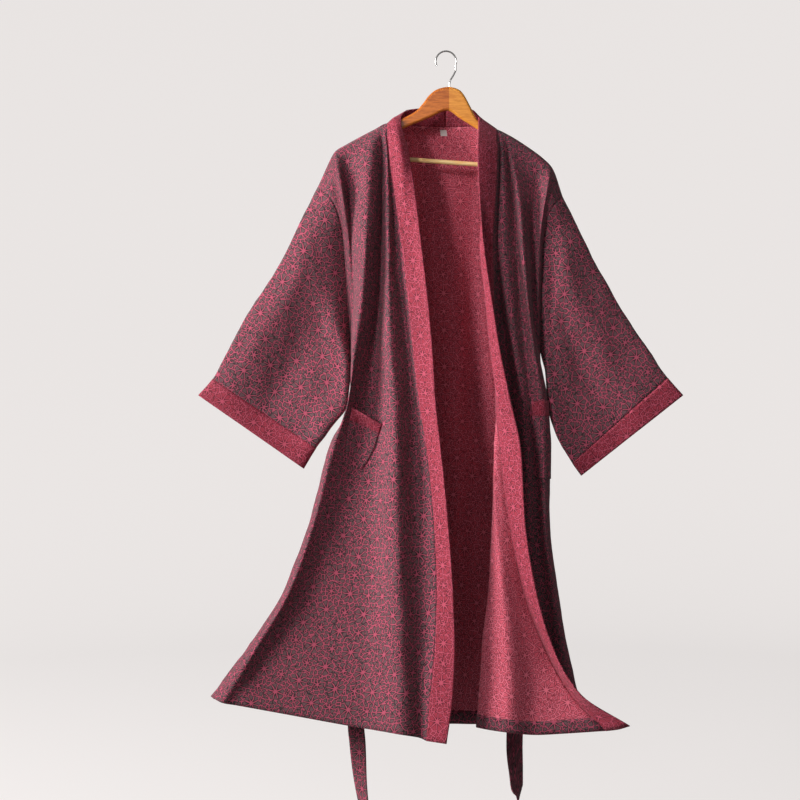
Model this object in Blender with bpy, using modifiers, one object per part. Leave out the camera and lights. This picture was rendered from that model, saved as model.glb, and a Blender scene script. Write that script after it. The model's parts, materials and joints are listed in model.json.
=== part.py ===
"""A long cotton kimono robe, open at the front, on a wooden hanger.

Metres, +Z up, +X to the viewer's right and -Y towards the viewer. The origin is the inside of
the hook's crown, where it rests on a rod. The wearer's right side lies at -X.

The tables are the robe's front elevation in millimetres. Each width and height is as a viewer
at EYE sees it against the hanger's plane, and as_built() carries it along the sight line to its
own depth. Depths are millimetres behind that plane, so a fold that comes forward is negative.
"""

import math

import bmesh
import bpy
from mathutils import Vector

MM = 0.001
EYE = (-92, -3000, -696)

WALL = 0.0015
BAND_WALL = 0.0022
SEAM_GAP = 0.0003
SHOULDER_PULL = 0.0013
SHARPEST_SEAM = math.radians(25)
DEEPEST_PULL = 0.6

UNDERARM = -596
ARM_REACH = 8
ARM_CLEAR = 9.5
ROW_ROOM = 20
ARMHOLE_STEPS = (0, 0.012, 0.035, 0.075, 0.14, 0.23, 0.34, 0.46, 0.6, 0.74, 0.86, 0.95, 1)
SKIRT_STEPS = (0.08, 0.17, 0.27, 0.37, 0.47, 0.57, 0.67, 0.77, 0.86, 0.93, 1)

HEIGHTS = (-196, -276, -376, -496, -596, -696, -796, -936, -1076, -1196, -1286)

# Each line runs down one fold or edge: name, cells to the next line, top (x, z), hem (x, z, depth),
# widths at HEIGHTS, depths at HEIGHTS. None is above the line's top or below its hem.
RIGHT_FRONT = (
    ("side", 2, None, (-464, -1294, 30),
     (None, None, None, None, -190, -189, -224, -260, -312, -386, None),
     (None, None, None, None, 9, 12, 15, 20, 25, 28, None)),
    ("outer roll", 2, (-220, -198), (-469, -1290, 12),
     (None, -208, -194, -188, -191, -191, -231, -267, -320, -396, None),
     (None, -36, -18, -8, -6, -8, -4, 0, 6, 10, None)),
    ("arm valley", 3, (-200, -186), (-471, -1288, -8),
     (-202, -196, -190, -185, -190, -193, -234, -271, -324, -401, None),
     (-12, -13, -14, -10, -22, -26, -20, -16, -12, -8, None)),
    ("first ridge", 3, (-146, -157), (-448, -1302, -45),
     (-150, -156, -160, -168, -182, -195, -226, -262, -312, -382, None),
     (-28, -46, -56, -60, -60, -56, -50, -48, -48, -46, None)),
    ("pocket valley", 1, (-130, -150), (-418, -1307, -40),
     (-128, -128, -130, -136, -146, -156, -178, -212, -276, -344, -408),
     (-13, -14, -15, -16, -18, -20, -24, -26, -28, -32, -38)),
    ("front plane", 2, (-126, -148), (-176, -1351, -64),
     (-125, -124, -125, -128, -132, -135, -140, -152, -162, -168, -174),
     (-16, -20, -24, -27, -29, -30, -32, -36, -42, -50, -60)),
    ("second ridge", 2, (-123, -146), (-86, -1366, -110),
     (-118, -116, -115, -114, -110, -102, -100, -98, -94, -91, -88),
     (-22, -36, -48, -56, -63, -70, -80, -90, -98, -103, -107)),
    ("band valley", 2, (-120, -144.5), (-52, -1372, -98),
     (-117, -110, -101, -88, -78, -68, -62, -58, -54, -52, -52),
     (-19, -27, -30, -34, -38, -42, -48, -62, -76, -86, -94)),
    ("band seam", 0, (-117, -143), (-39, -1378, -104),
     (-116, -104, -90, -76, -66, -54, -38, -24, -18, -22, -31),
     (-18, -32, -42, -48, -54, -58, -66, -78, -90, -99, -103)),
)
RIGHT_BAND = (
    RIGHT_FRONT[-1][:1] + (2,) + RIGHT_FRONT[-1][2:],
    ("band fold", 2, (-100, -130), (-19, -1381, -112),
     (-91, -82, -68, -54, -44, -36, -24, -10, -2, -2, -10),
     (-40, -48, -50, -58, -64, -70, -76, -88, -99, -107, -110)),
    ("free edge", 0, (-90, -130), (1, -1384, -118),
     (-76, -62, -50, -36, -27, -21, -10, 4, 14, 18, 14),
     (-28, -50, -62, -70, -76, -82, -88, -98, -108, -114, -117)),
)
LEFT_FRONT = (
    ("side", 2, None, (260, -1350, 30),
     (None, None, None, None, 188, 195, 198, 202, 214, 234, 250),
     (None, None, None, None, 9, 12, 16, 22, 26, 28, 30)),
    ("outer roll", 2, (212, -232), (280, -1352, 8),
     (None, 202, 188, 184, 187, 196, 203, 207, 222, 242, 262),
     (None, -36, -24, -12, -6, -4, 0, 4, 8, 8, 8)),
    ("arm valley", 2, (186, -207), (284, -1354, -10),
     (None, 178, 174, 174, 184, 201, 206, 208, 223, 244, 264),
     (None, -8, -8, -8, -12, -18, -16, -14, -12, -10, -10)),
    ("outer ridge", 2, (130, -169), (260, -1354, -26),
     (134, 144, 153, 164, 176, 190, 195, 198, 212, 230, 246),
     (-20, -34, -42, -44, -44, -42, -40, -36, -32, -28, -26)),
    ("middle valley", 2, (122, -165), (224, -1354, -16),
     (124, 134, 141, 150, 158, 170, 176, 182, 194, 208, 218),
     (-14, -16, -20, -22, -24, -26, -26, -24, -22, -19, -17)),
    ("inner ridge", 2, (111, -160), (184, -1354, -24),
     (113, 115, 117, 127, 140, 152, 160, 164, 172, 178, 182),
     (-24, -34, -38, -40, -40, -40, -38, -34, -30, -27, -25)),
    ("inner valley", 2, (107, -158), (112, -1353, -30),
     (107, 105, 102, 108, 120, 128, 132, 132, 128, 122, 114),
     (-18, -24, -24, -20, -18, -20, -22, -24, -26, -28, -29)),
    ("turn", 3, (105.6, -157), (62, -1351, -58),
     (106, 103, 99, 102, 108, 108, 98, 92, 84, 72, 66),
     (-22, -30, -30, -26, -24, -30, -44, -46, -50, -53, -57)),
    ("lapel crest", 2, (104.4, -156.6), (128, -1362, -106),
     (105, 102, 97, 99, 104, 102, 97, 101, 114, 123, 127),
     (-25, -33, -33, -29, -28, -36, -54, -66, -84, -95, -102)),
    ("lapel valley", 2, (103.2, -156), (184, -1366, -92),
     (104, 101, 96, 97, 101, 100, 102, 114, 138, 164, 178),
     (-28, -36, -36, -32, -32, -42, -58, -64, -74, -76, -84)),
    ("band seam", 0, (102, -155.4), (320, -1358, -94),
     (103, 100, 94, 96, 99, 99, 108, 126, 154, 200, 252),
     (-31, -39, -39, -35, -37, -48, -58, -60, -64, -64, -82)),
)
LEFT_BAND = (
    LEFT_FRONT[-1][:1] + (2,) + LEFT_FRONT[-1][2:],
    ("band fold", 2, (80, -140), (344, -1355, -102),
     (82, 81, 68, 79, 89, 104, 126, 140, 164, 207, 261),
     (-44, -52, -54, -58, -60, -68, -76, -78, -82, -82, -93)),
    ("free edge", 0, (65, -130), (368, -1348, -108),
     (63, 66, 75, 92, 108, 129, 150, 158, 180, 216, 270),
     (-52, -60, -68, -76, -80, -84, -92, -92, -96, -96, -106)),
)

# Armhole seams from the dropped shoulder's fold to the underarm: x, z, depth in front, depth behind.
RIGHT_ARMHOLE = (
    (-256, -270, 0, 0),
    (-231, -292, -26, 24),
    (-215, -324, -22, 25),
    (-206, -376, -8, 23),
    (-198, -496, 4, 21),
    (-190, UNDERARM, 9, 9),
)
LEFT_ARMHOLE = (
    (233, -290, 0, 0),
    (215, -308, -24, 24),
    (200, -340, -14, 22),
    (193, -396, -4, 20),
    (190, -496, 3, 18),
    (188, UNDERARM, 9, 9),
)

# The back's own lines, from the wearer's right side seam to the left one. A top of three values
# is on the neckline, at its own depth.
BACK = (
    RIGHT_FRONT[0][:1] + (2,) + RIGHT_FRONT[0][2:],
    ("right outer", 2, (-220, -198), (-458, -1292, 44),
     (None, -214, -192, -186, -187, -188, -218, -252, -302, -374, None),
     (None, 26, 22, 24, 20, 24, 28, 34, 40, 44, None)),
    ("right arm", 2, (-200, -186), (-428, -1298, 58),
     (-201, -195, -188, -180, -178, -178, -202, -234, -280, -346, None),
     (14, 20, 26, 30, 34, 38, 44, 52, 58, 58, None)),
    ("right blade", 2, (-146, -157), (-290, -1318, 72),
     (-148, -149, -150, -148, -146, -146, -158, -178, -206, -240, -270),
     (16, 26, 34, 42, 48, 54, 60, 66, 70, 72, 72)),
    ("right neck point", 2, (-117, -143), (-172, -1330, 92),
     (-118, -116, -114, -112, -110, -108, -112, -120, -134, -150, -166),
     (19, 34, 46, 54, 60, 66, 72, 80, 86, 90, 92)),
    ("right nape", 2, (-92, -142, 28), (-94, -1338, 94),
     (-90, -86, -82, -78, -76, -74, -74, -76, -80, -86, -92),
     (31, 38, 46, 54, 60, 66, 72, 80, 86, 91, 93)),
    ("right fold", 2, (-52, -148, 52), (-40, -1342, 104),
     (-50, -48, -46, -44, -42, -40, -40, -40, -40, -40, -40),
     (55, 58, 62, 66, 72, 78, 84, 92, 98, 102, 104)),
    ("centre", 2, (0, -150, 60), (20, -1344, 98),
     (6, 12, 18, 20, 20, 20, 20, 20, 20, 20, 20),
     (59, 55, 52, 55, 60, 66, 72, 80, 88, 94, 97)),
    ("left fold", 2, (48, -149, 50), (62, -1344, 108),
     (49, 50, 52, 52, 52, 52, 54, 56, 58, 60, 62),
     (54, 59, 64, 69, 75, 80, 86, 94, 100, 105, 107)),
    ("left nape", 2, (84, -151, 26), (106, -1346, 98),
     (84, 82, 82, 82, 82, 84, 86, 88, 92, 98, 104),
     (30, 38, 46, 54, 61, 67, 73, 81, 88, 94, 97)),
    ("left neck point", 2, (102, -155.4), (150, -1347, 92),
     (104, 105, 107, 108, 110, 112, 115, 119, 128, 138, 146),
     (19, 33, 44, 52, 59, 65, 71, 78, 85, 90, 91)),
    ("left blade", 2, (130, -169), (206, -1349, 72),
     (136, 140, 142, 144, 148, 152, 156, 164, 176, 190, 200),
     (14, 24, 32, 38, 43, 48, 52, 58, 64, 68, 71)),
    ("left arm", 2, (194, -213), (252, -1351, 56),
     (None, 187, 176, 174, 178, 184, 188, 192, 204, 222, 240),
     (None, 16, 22, 28, 31, 34, 38, 44, 50, 54, 56)),
    ("left outer", 2, (212, -232), (268, -1351, 44),
     (None, 210, 184, 180, 184, 192, 196, 200, 212, 232, 252),
     (None, 24, 22, 22, 20, 24, 28, 34, 40, 42, 43)),
    LEFT_FRONT[0],
)

# The band round the neck, from one shoulder to the other: fold and free edge, x, z and depth, at
# the back's lines from the right neck point to the left one.
NECK_CELLS = 2
NECK_FOLD = (
    (-100, -130, 0), (-86, -124, 24), (-46, -128, 48), (0, -131, 58),
    (36, -129, 50), (62, -130, 30), (80, -140, 0),
)
NECK_EDGE = (
    (-90, -130, 0), (-78, -117, 24), (-42, -112, 45), (0, -110.4, 52),
    (32, -111, 46), (54, -117, 26), (65, -130, 0),
)

# Sleeve sections from the armhole to the cuff's edge: top (x, z), underside (x, z), half depth,
# and the height of the fold that runs down the front from the shoulder.
RIGHT_SLEEVE = (
    ((-256, -270), (-190, UNDERARM), 26, 0),
    ((-290, -336), (-198, -642), 26, 14),
    ((-324, -410), (-202, -704), 25, 14),
    ((-400, -531), (-232, -754), 20, 8),
    ((-466, -654), (-260, -792), 15, 2),
    ((-495, -687), (-285, -833), 13, 0),
)
LEFT_SLEEVE = (
    ((233, -290), (188, UNDERARM), 24, 0),
    ((254, -334), (199, -644), 26, 10),
    ((294, -412), (207, -720), 25, 12),
    ((345, -504), (226, -776), 20, 8),
    ((443, -652), (253, -822), 15, 2),
    ((474, -687), (271, -847), 13, 0),
)
SLEEVE_STATIONS = (0, 0.2, 0.5, 1, 1.5, 2, 2.5, 3, 3.5, 4)
CUFF_STATIONS = (4, 4.5, 5)
SLEEVE_FOLD_AT = 0.62
SLEEVE_FOLD_WIDTH = 0.16
SLEEVE_ROUNDNESS = 0.6

# Pocket corners in the panel's own cells (column, row), mouth first. The mouth may bridge a fold
# and gape, and the patch lies off the panel by its lift, along the panel's normal.
POCKET_ROWS = (0, 0.1, 0.21, 0.4, 0.6, 0.8, 1)
BAND_ROWS = 2
POCKET_CELLS = 6
MOUTH_FADE = 2.5
RIGHT_POCKET = {
    "inner": ((11.7, 14.25), (11.2, 14.65), (10.8, 15.1), (10.4, 15.6)),
    "outer": ((8.0, 13.9), (8.3, 14.5), (8.7, 15.05), (9.1, 15.55)),
    "bridged": 1.0,
    "gape": 0.005,
    "lift": -0.0036,
}
LEFT_POCKET = {
    "inner": ((8, 13.6), (8, 14.3), (8, 15.0), (8, 15.7)),
    "outer": ((2, 13.6), (2, 14.3), (2, 15.0), (2, 15.7)),
    "bridged": 0.0,
    "gape": 0.002,
    "lift": 0.0025,
}

BELT_WIDTH = 0.034
BELT_WALL = 0.0016
# The belt's middle line from one hanging end to the other: x, z, depth, and its turn about its own
# line in degrees.
BELT = (
    (-164, -1512, 93, 54), (-172, -1450, 95, 36), (-177, -1382, 97, 10), (-180, -1340, 98, 0),
    (-178, -1200, 93, 0), (-176, -1000, 81, 0), (-172, -850, 70, 0), (-170, -760, 65, 0),
    (-164, -720, 61, 0), (-144, -704, 62.5, 0), (-108, -702, 72.5, 0), (-74, -703, 77, 0),
    (-40, -704, 83, 0), (10, -705, 84, 0), (52, -704, 85, 0), (84, -703, 79, 0),
    (112, -702, 71, 0), (144, -704, 59, 0), (164, -722, 57, 0), (172, -766, 55, 0),
    (172, -860, 62, 0), (162, -1000, 76, 0), (150, -1180, 94, 0), (138, -1340, 100, 0),
    (137, -1390, 101, 6), (140, -1440, 101, 30), (142, -1470, 100, 42), (145, -1484, 100, 70),
    (145, -1500, 99, 84),
)
BELT_CELLS = 2
# Belt loops stand on the back round the belt's level run, at these columns of the back's cells.
LOOP_WIDTH = 0.008
LOOP_WALL = 0.0012
LOOP_STAND = 0.0085
LOOP_CELLS = 8
LOOP_RISE = 3
LOOP_ROWS = (13.3, 14.16)
RIGHT_LOOP_COLUMN = 6.3
LEFT_LOOP_COLUMN = 21

# The label's corners in the back's own cells.
LABEL_WALL = 0.0008
LABEL_COLUMNS = (13.5, 13.75, 14)
LABEL_ROWS = (1.1, 1.6, 2.15)

WOOD_THICKNESS = 0.011
WOOD_ROUNDING = 0.005
HANGER_OUTLINE = (
    (-200, -219), (-212, -211), (-214, -202), (-202, -191.2), (-160, -168.3), (-116, -147.2),
    (-90, -135), (-60, -118), (-46, -102.8), (-34, -87), (-18, -75), (6, -70), (26, -75.6),
    (36, -86), (47, -106), (53.2, -118), (64, -136.6), (102, -160), (158, -193), (190, -214.8),
    (200, -223), (200, -233), (188, -246), (169.5, -242), (170.6, -227), (148, -211), (102, -182),
    (62.4, -154.8), (28, -133), (2.6, -117.8), (-32, -131.6), (-79.2, -151), (-116, -170),
    (-160, -190), (-182.6, -199), (-183.6, -213),
)
BAR_DIAMETER = 0.009
BAR_ENDS = ((-182.9, -207), (169.9, -232.8))
HOOK_WIRE = 0.0032
HOOK_RADIUS = 20.5
HOOK_STEPS = 16
HOOK_FROM = 205
HOOK_TO = -25
HOOK_STEM = ((19.4, -37), (14, -48), (8.6, -57), (7, -64), (6.6, -69.9))

COLOURS = {
    "outer cloth": ((0.16, 0.055, 0.075), 0.85, 0),
    "reverse cloth": ((0.36, 0.045, 0.08), 0.85, 0),
    "label cloth": ((0.85, 0.84, 0.82), 0.8, 0),
    "varnished wood": ((0.42, 0.15, 0.045), 0.35, 0),
    "pale wood": ((0.72, 0.42, 0.16), 0.45, 0),
    "steel": ((0.55, 0.54, 0.52), 0.25, 1),
}


def smooth(knots, values, at):
    """A curve through the values that never swings past them, read at one place."""
    if at <= knots[0]:
        return values[0]
    if at >= knots[-1]:
        return values[-1]
    widths = [b - a for a, b in zip(knots, knots[1:])]
    rates = [(b - a) / w for a, b, w in zip(values, values[1:], widths)]
    slopes = [rates[0]]
    for i in range(1, len(rates)):
        before, after = rates[i - 1], rates[i]
        if before * after <= 0:
            slopes.append(0)
            continue
        near, far = 2 * widths[i] + widths[i - 1], widths[i] + 2 * widths[i - 1]
        slopes.append((near + far) / (near / before + far / after))
    slopes.append(rates[-1])
    i = next(k for k in range(len(widths)) if at <= knots[k + 1])
    t, w = (at - knots[i]) / widths[i], widths[i]
    return (
        values[i] * (1 + 2 * t) * (1 - t) ** 2
        + slopes[i] * w * t * (1 - t) ** 2
        + values[i + 1] * t * t * (3 - 2 * t)
        - slopes[i + 1] * w * t * t * (1 - t)
    )


def as_built(x, z, depth):
    """A place of the front elevation, in metres, at its own depth."""
    reach = (depth - EYE[1]) / -EYE[1]
    return Vector((EYE[0] + (x - EYE[0]) * reach, depth, EYE[2] + (z - EYE[2]) * reach)) * MM


def line_places(line, armhole, side):
    """A line's places from top to hem: x, z and depth, in front for side 0 and behind for 1."""
    name, cells, top, hem, widths, depths = line
    if top is None:
        places = [(row[0], row[1], row[2 + side]) for row in armhole]
    elif len(top) == 3:
        places = [top]
    else:
        rest = (-ARM_CLEAR, ARM_CLEAR)[side]
        places = [(*top, 0), (top[0], top[1] - ARM_REACH, rest)]
    highest = places[-1][1] - ROW_ROOM
    for height, x, depth in zip(HEIGHTS, widths, depths):
        if x is not None and hem[1] + ROW_ROOM < height < highest:
            places.append((x, height, depth))
    return places + [hem]


def run_down(line, armhole, side):
    """One line's places at every row of its panel."""
    places = line_places(line, armhole, side)
    levels = [-place[1] for place in places]
    top, hem = places[0][1], places[-1][1]
    rows = [top + (UNDERARM - top) * step for step in ARMHOLE_STEPS]
    rows += [UNDERARM + (hem - UNDERARM) * step for step in SKIRT_STEPS]
    widths, depths = [place[0] for place in places], [place[2] for place in places]
    return [(smooth(levels, widths, -z), z, smooth(levels, depths, -z)) for z in rows]


def across(cells, columns):
    """Rows of places that run smoothly from line to line, with the cells each line asks for."""
    knots = range(len(columns))
    stations = [i + k / cells[i] for i in knots[:-1] for k in range(cells[i])] + [knots[-1]]
    return [
        [tuple(smooth(knots, axis, at) for axis in zip(*row)) for at in stations]
        for row in zip(*columns)
    ]


def metres(rows):
    return [[as_built(*place) for place in row] for row in rows]


def panel(lines, right_armhole, left_armhole, side):
    columns = [
        run_down(line, right_armhole if line is lines[0] else left_armhole, side)
        for line in lines
    ]
    return metres(across([line[1] for line in lines], columns))


def band(lines, side, neck_seam):
    """Half of the collar band: its front from the hem to the shoulder, then round the neck.

    Its first row is the hem and its last the centre back. side is 0 for the wearer's right.
    """
    rows = panel(lines, None, None, 0)[::-1]
    cells = [line[1] for line in lines]
    half = len(NECK_FOLD) // 2 + 1
    fold, edge = ((NECK_FOLD, NECK_EDGE), (NECK_FOLD[::-1], NECK_EDGE[::-1]))[side]
    for k, seam in enumerate(neck_seam[1:], 1):
        places = [
            as_built(*(smooth(range(half), axis, k / NECK_CELLS) for axis in zip(*line[:half])))
            for line in (fold, edge)
        ]
        filled = across(cells, [[seam], [places[0]], [places[1]]])[0]
        rows.append([Vector(place) for place in filled])
    return rows


def ring_sections(front_seam, back_seam, sections, stations):
    """A sleeve's rows of points round and round, from the armhole to the last station."""
    downs = ARMHOLE_STEPS
    knots = range(len(sections))
    rows = []
    for at in stations:
        row = []
        for forward, seam in ((-1, front_seam), (1, back_seam)):
            half = []
            for j, down in enumerate(downs):
                path = [seam[j]]
                for (top, bottom, depth, fold) in sections[1:]:
                    swell = depth * math.sin(math.pi * down) ** SLEEVE_ROUNDNESS
                    near_fold = math.exp(-((down - SLEEVE_FOLD_AT) / SLEEVE_FOLD_WIDTH) ** 2)
                    if forward < 0:
                        swell += fold * near_fold
                    path.append(as_built(
                        top[0] + (bottom[0] - top[0]) * down,
                        top[1] + (bottom[1] - top[1]) * down,
                        forward * swell,
                    ))
                half.append(Vector([smooth(knots, axis, at) for axis in zip(*path)]))
            row += half if forward < 0 else half[-2:0:-1]
        rows.append(row)
    return rows


def open_seam(first, second, wall, gap=SEAM_GAP):
    """Draws two edges that share their points apart along their own cloth, square to the seam.

    Each edge is a list of (rows, row, column, row further in, column further in). The distance
    leaves the gap between two walls that meet at any angle.
    """
    seam = [rows[i][j].copy() for rows, i, j, k, m in first]
    moves = []
    for n, pair in enumerate(zip(first, second)):
        along = (seam[min(n + 1, len(seam) - 1)] - seam[max(n - 1, 0)]).normalized()
        inwards = []
        for rows, i, j, k, m in pair:
            inward = rows[k][m] - rows[i][j]
            inwards.append(inward - along * inward.dot(along))
        angle = max(inwards[0].angle(inwards[1], math.pi), SHARPEST_SEAM)
        pull = wall / 2 / math.tan(angle / 2) + gap / 2
        for (rows, i, j, k, m), inward in zip(pair, inwards):
            step = inward.normalized() * min(pull, inward.length * DEEPEST_PULL)
            moves.append((rows, i, j, step))
    for rows, i, j, step in moves:
        rows[i][j] = rows[i][j] + step


def column_edge(rows, column, inner, start=0, stop=None):
    return [(rows, i, column, i, inner) for i in range(len(rows))[start:stop]]


def row_edge(rows, row, inner, start=0, stop=None):
    return [(rows, row, j, inner, j) for j in range(len(rows[0]))[start:stop]]


def draw_in(edge, distance):
    """Shortens a panel at an edge, along its own cloth."""
    for rows, i, j, k, m in edge:
        rows[i][j] = rows[i][j] + (rows[k][m] - rows[i][j]).normalized() * distance


def sample(rows, column, row):
    """The place on a panel at a fractional cell, its normal and its direction across."""
    bottom, end = len(rows) - 1, len(rows[0]) - 1
    i, j = min(int(row), bottom - 1), min(int(column), end - 1)
    corners = []
    for m, n in ((i, j), (i, j + 1), (i + 1, j), (i + 1, j + 1)):
        across_it = rows[m][min(n + 1, end)] - rows[m][max(n - 1, 0)]
        down_it = rows[min(m + 1, bottom)][n] - rows[max(m - 1, 0)][n]
        corners.append((rows[m][n], across_it.cross(down_it).normalized(), across_it.normalized()))
    place, normal, across_it = (
        a.lerp(b, column - j).lerp(c.lerp(d, column - j), row - i) for a, b, c, d in zip(*corners)
    )
    return place, normal.normalized(), across_it.normalized()


def pocket(rows, design):
    """A patch that follows the panel, whose mouth may bridge a fold or gape."""
    knots = [k / (len(design["inner"]) - 1) for k in range(len(design["inner"]))]
    patch = []
    for down in POCKET_ROWS:
        outer, inner = (
            [smooth(knots, axis, down) for axis in zip(*design[name])]
            for name in ("outer", "inner")
        )
        row = []
        for k in range(POCKET_CELLS + 1):
            cell = [a + (b - a) * k / POCKET_CELLS for a, b in zip(outer, inner)]
            place, normal, across_it = sample(rows, *cell)
            row.append(place + normal * design["lift"])
        openness = (1 - down) ** MOUTH_FADE
        left, right = row[0], row[-1]
        for k in range(1, POCKET_CELLS):
            along = k / POCKET_CELLS
            bow = Vector((0, -1, 0)) * design["gape"] * math.sin(math.pi * along)
            bridge = left.lerp(right, along)
            if bridge.y < row[k].y:
                row[k] = row[k].lerp(bridge, design["bridged"] * openness)
            row[k] = row[k] + bow * openness
        patch.append(row)
    return patch[:BAND_ROWS + 1], [[place.copy() for place in patch[BAND_ROWS]]] + patch[BAND_ROWS + 1:]


def belt_rows():
    """The belt's strip, as rows of three places across it."""
    knots = range(len(BELT))
    spots = [as_built(x, z, depth) for x, z, depth, turn in BELT]
    turns = [math.radians(turn) for x, z, depth, turn in BELT]
    rows = []
    for k in range((len(BELT) - 1) * BELT_CELLS + 1):
        before, here, after = (
            Vector([smooth(knots, axis, (k + step) / BELT_CELLS) for axis in zip(*spots)])
            for step in (-0.5, 0, 0.5)
        )
        along = after - before
        side = Vector((-along.z, 0, along.x)).normalized()
        turn = smooth(knots, turns, k / BELT_CELLS)
        side = side * math.cos(turn) + Vector((0, 1, 0)) * math.sin(turn)
        rows.append([here + side * BELT_WIDTH * share for share in (-0.5, 0, 0.5)])
    return rows


def loop_rows(back, column):
    """A belt loop: a strip sewn to the back at both ends, which stands off it between them."""
    rows = []
    for k in range(LOOP_CELLS + 1):
        share = k / LOOP_CELLS
        row = LOOP_ROWS[0] + (LOOP_ROWS[1] - LOOP_ROWS[0]) * share
        place, normal, across_it = sample(back, column, row)
        stand = LOOP_STAND * min(1, math.sin(math.pi * share) * LOOP_RISE)
        place = place + normal * (WALL / 2 + LOOP_WALL / 2 + SEAM_GAP + stand)
        rows.append([place + across_it * LOOP_WIDTH * side for side in (-0.5, 0.5)])
    return rows


def label_rows(back):
    """A small tag that lies on the back's inner face."""
    lift = WALL / 2 + LABEL_WALL / 2 + SEAM_GAP
    rows = []
    for row in LABEL_ROWS:
        spots = [sample(back, column, row) for column in LABEL_COLUMNS]
        rows.append([place - normal * lift for place, normal, across_it in spots])
    return rows


def hook_places():
    crown = HOOK_WIRE / MM / 2 - HOOK_RADIUS
    places = []
    for k in range(HOOK_STEPS + 1):
        angle = math.radians(HOOK_FROM + (HOOK_TO - HOOK_FROM) * k / HOOK_STEPS)
        places.append((HOOK_RADIUS * math.cos(angle), crown + HOOK_RADIUS * math.sin(angle)))
    return places + list(HOOK_STEM)


def make_material(name):
    colour, roughness, metallic = COLOURS[name]
    material = bpy.data.materials.new(name)
    material.use_nodes = True
    shader = material.node_tree.nodes["Principled BSDF"]
    shader.inputs["Base Color"].default_value = (*colour, 1)
    shader.inputs["Roughness"].default_value = roughness
    shader.inputs["Metallic"].default_value = metallic
    return material


def add_object(name, data, material, collection):
    piece = bpy.data.objects.new(name, data)
    data.materials.append(material)
    collection.objects.link(piece)
    return piece


def make_cloth(name, rows, wall, material, collection, ring=False):
    """A surface lofted through rows of places, with its wall shared between both sides."""
    mesh = bmesh.new()
    grid = [[mesh.verts.new(place) for place in row] for row in rows]
    for upper, lower in zip(grid, grid[1:]):
        if ring:
            upper, lower = upper + upper[:1], lower + lower[:1]
        for corners in zip(upper, upper[1:], lower[1:], lower):
            mesh.faces.new(corners)
    bmesh.ops.recalc_face_normals(mesh, faces=mesh.faces)
    data = bpy.data.meshes.new(name)
    mesh.to_mesh(data)
    mesh.free()
    data.shade_smooth()
    solidify = add_object(name, data, material, collection).modifiers.new("wall", "SOLIDIFY")
    solidify.thickness = wall
    solidify.offset = 0


def poly_curve(name, places, dimensions, closed=False):
    curve = bpy.data.curves.new(name, "CURVE")
    curve.dimensions = dimensions
    spline = curve.splines.new("POLY")
    spline.use_cyclic_u = closed
    spline.points.add(len(places) - 1)
    for point, (x, z) in zip(spline.points, places):
        point.co = (x * MM, z * MM, 0, 1)
    return curve


def make_hanger(collection):
    """A wooden body and bar, and a wire hook, drawn in the front elevation and stood upright."""
    wood = poly_curve("hanger_wood", HANGER_OUTLINE, "2D", closed=True)
    wood.fill_mode = "BOTH"
    wood.extrude = WOOD_THICKNESS / 2
    board = add_object("hanger_wood", wood, make_material("varnished wood"), collection)
    weld = board.modifiers.new("weld", "WELD")
    weld.merge_threshold = 0.00001
    bevel = board.modifiers.new("rounding", "BEVEL")
    bevel.width = WOOD_ROUNDING
    bevel.segments = 3
    bevel.limit_method = "ANGLE"
    bevel.angle_limit = math.radians(80)
    bar = poly_curve("hanger_bar", BAR_ENDS, "3D")
    bar.bevel_depth = BAR_DIAMETER / 2
    bar.bevel_resolution = 4
    hook = poly_curve("hanger_hook", hook_places(), "3D")
    hook.bevel_depth = HOOK_WIRE / 2
    hook.bevel_resolution = 2
    pieces = [board]
    for curve, material in ((bar, "pale wood"), (hook, "steel")):
        curve.use_fill_caps = True
        pieces.append(add_object(curve.name, curve, make_material(material), collection))
    for piece in pieces:
        piece.rotation_euler.x = math.pi / 2


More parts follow.
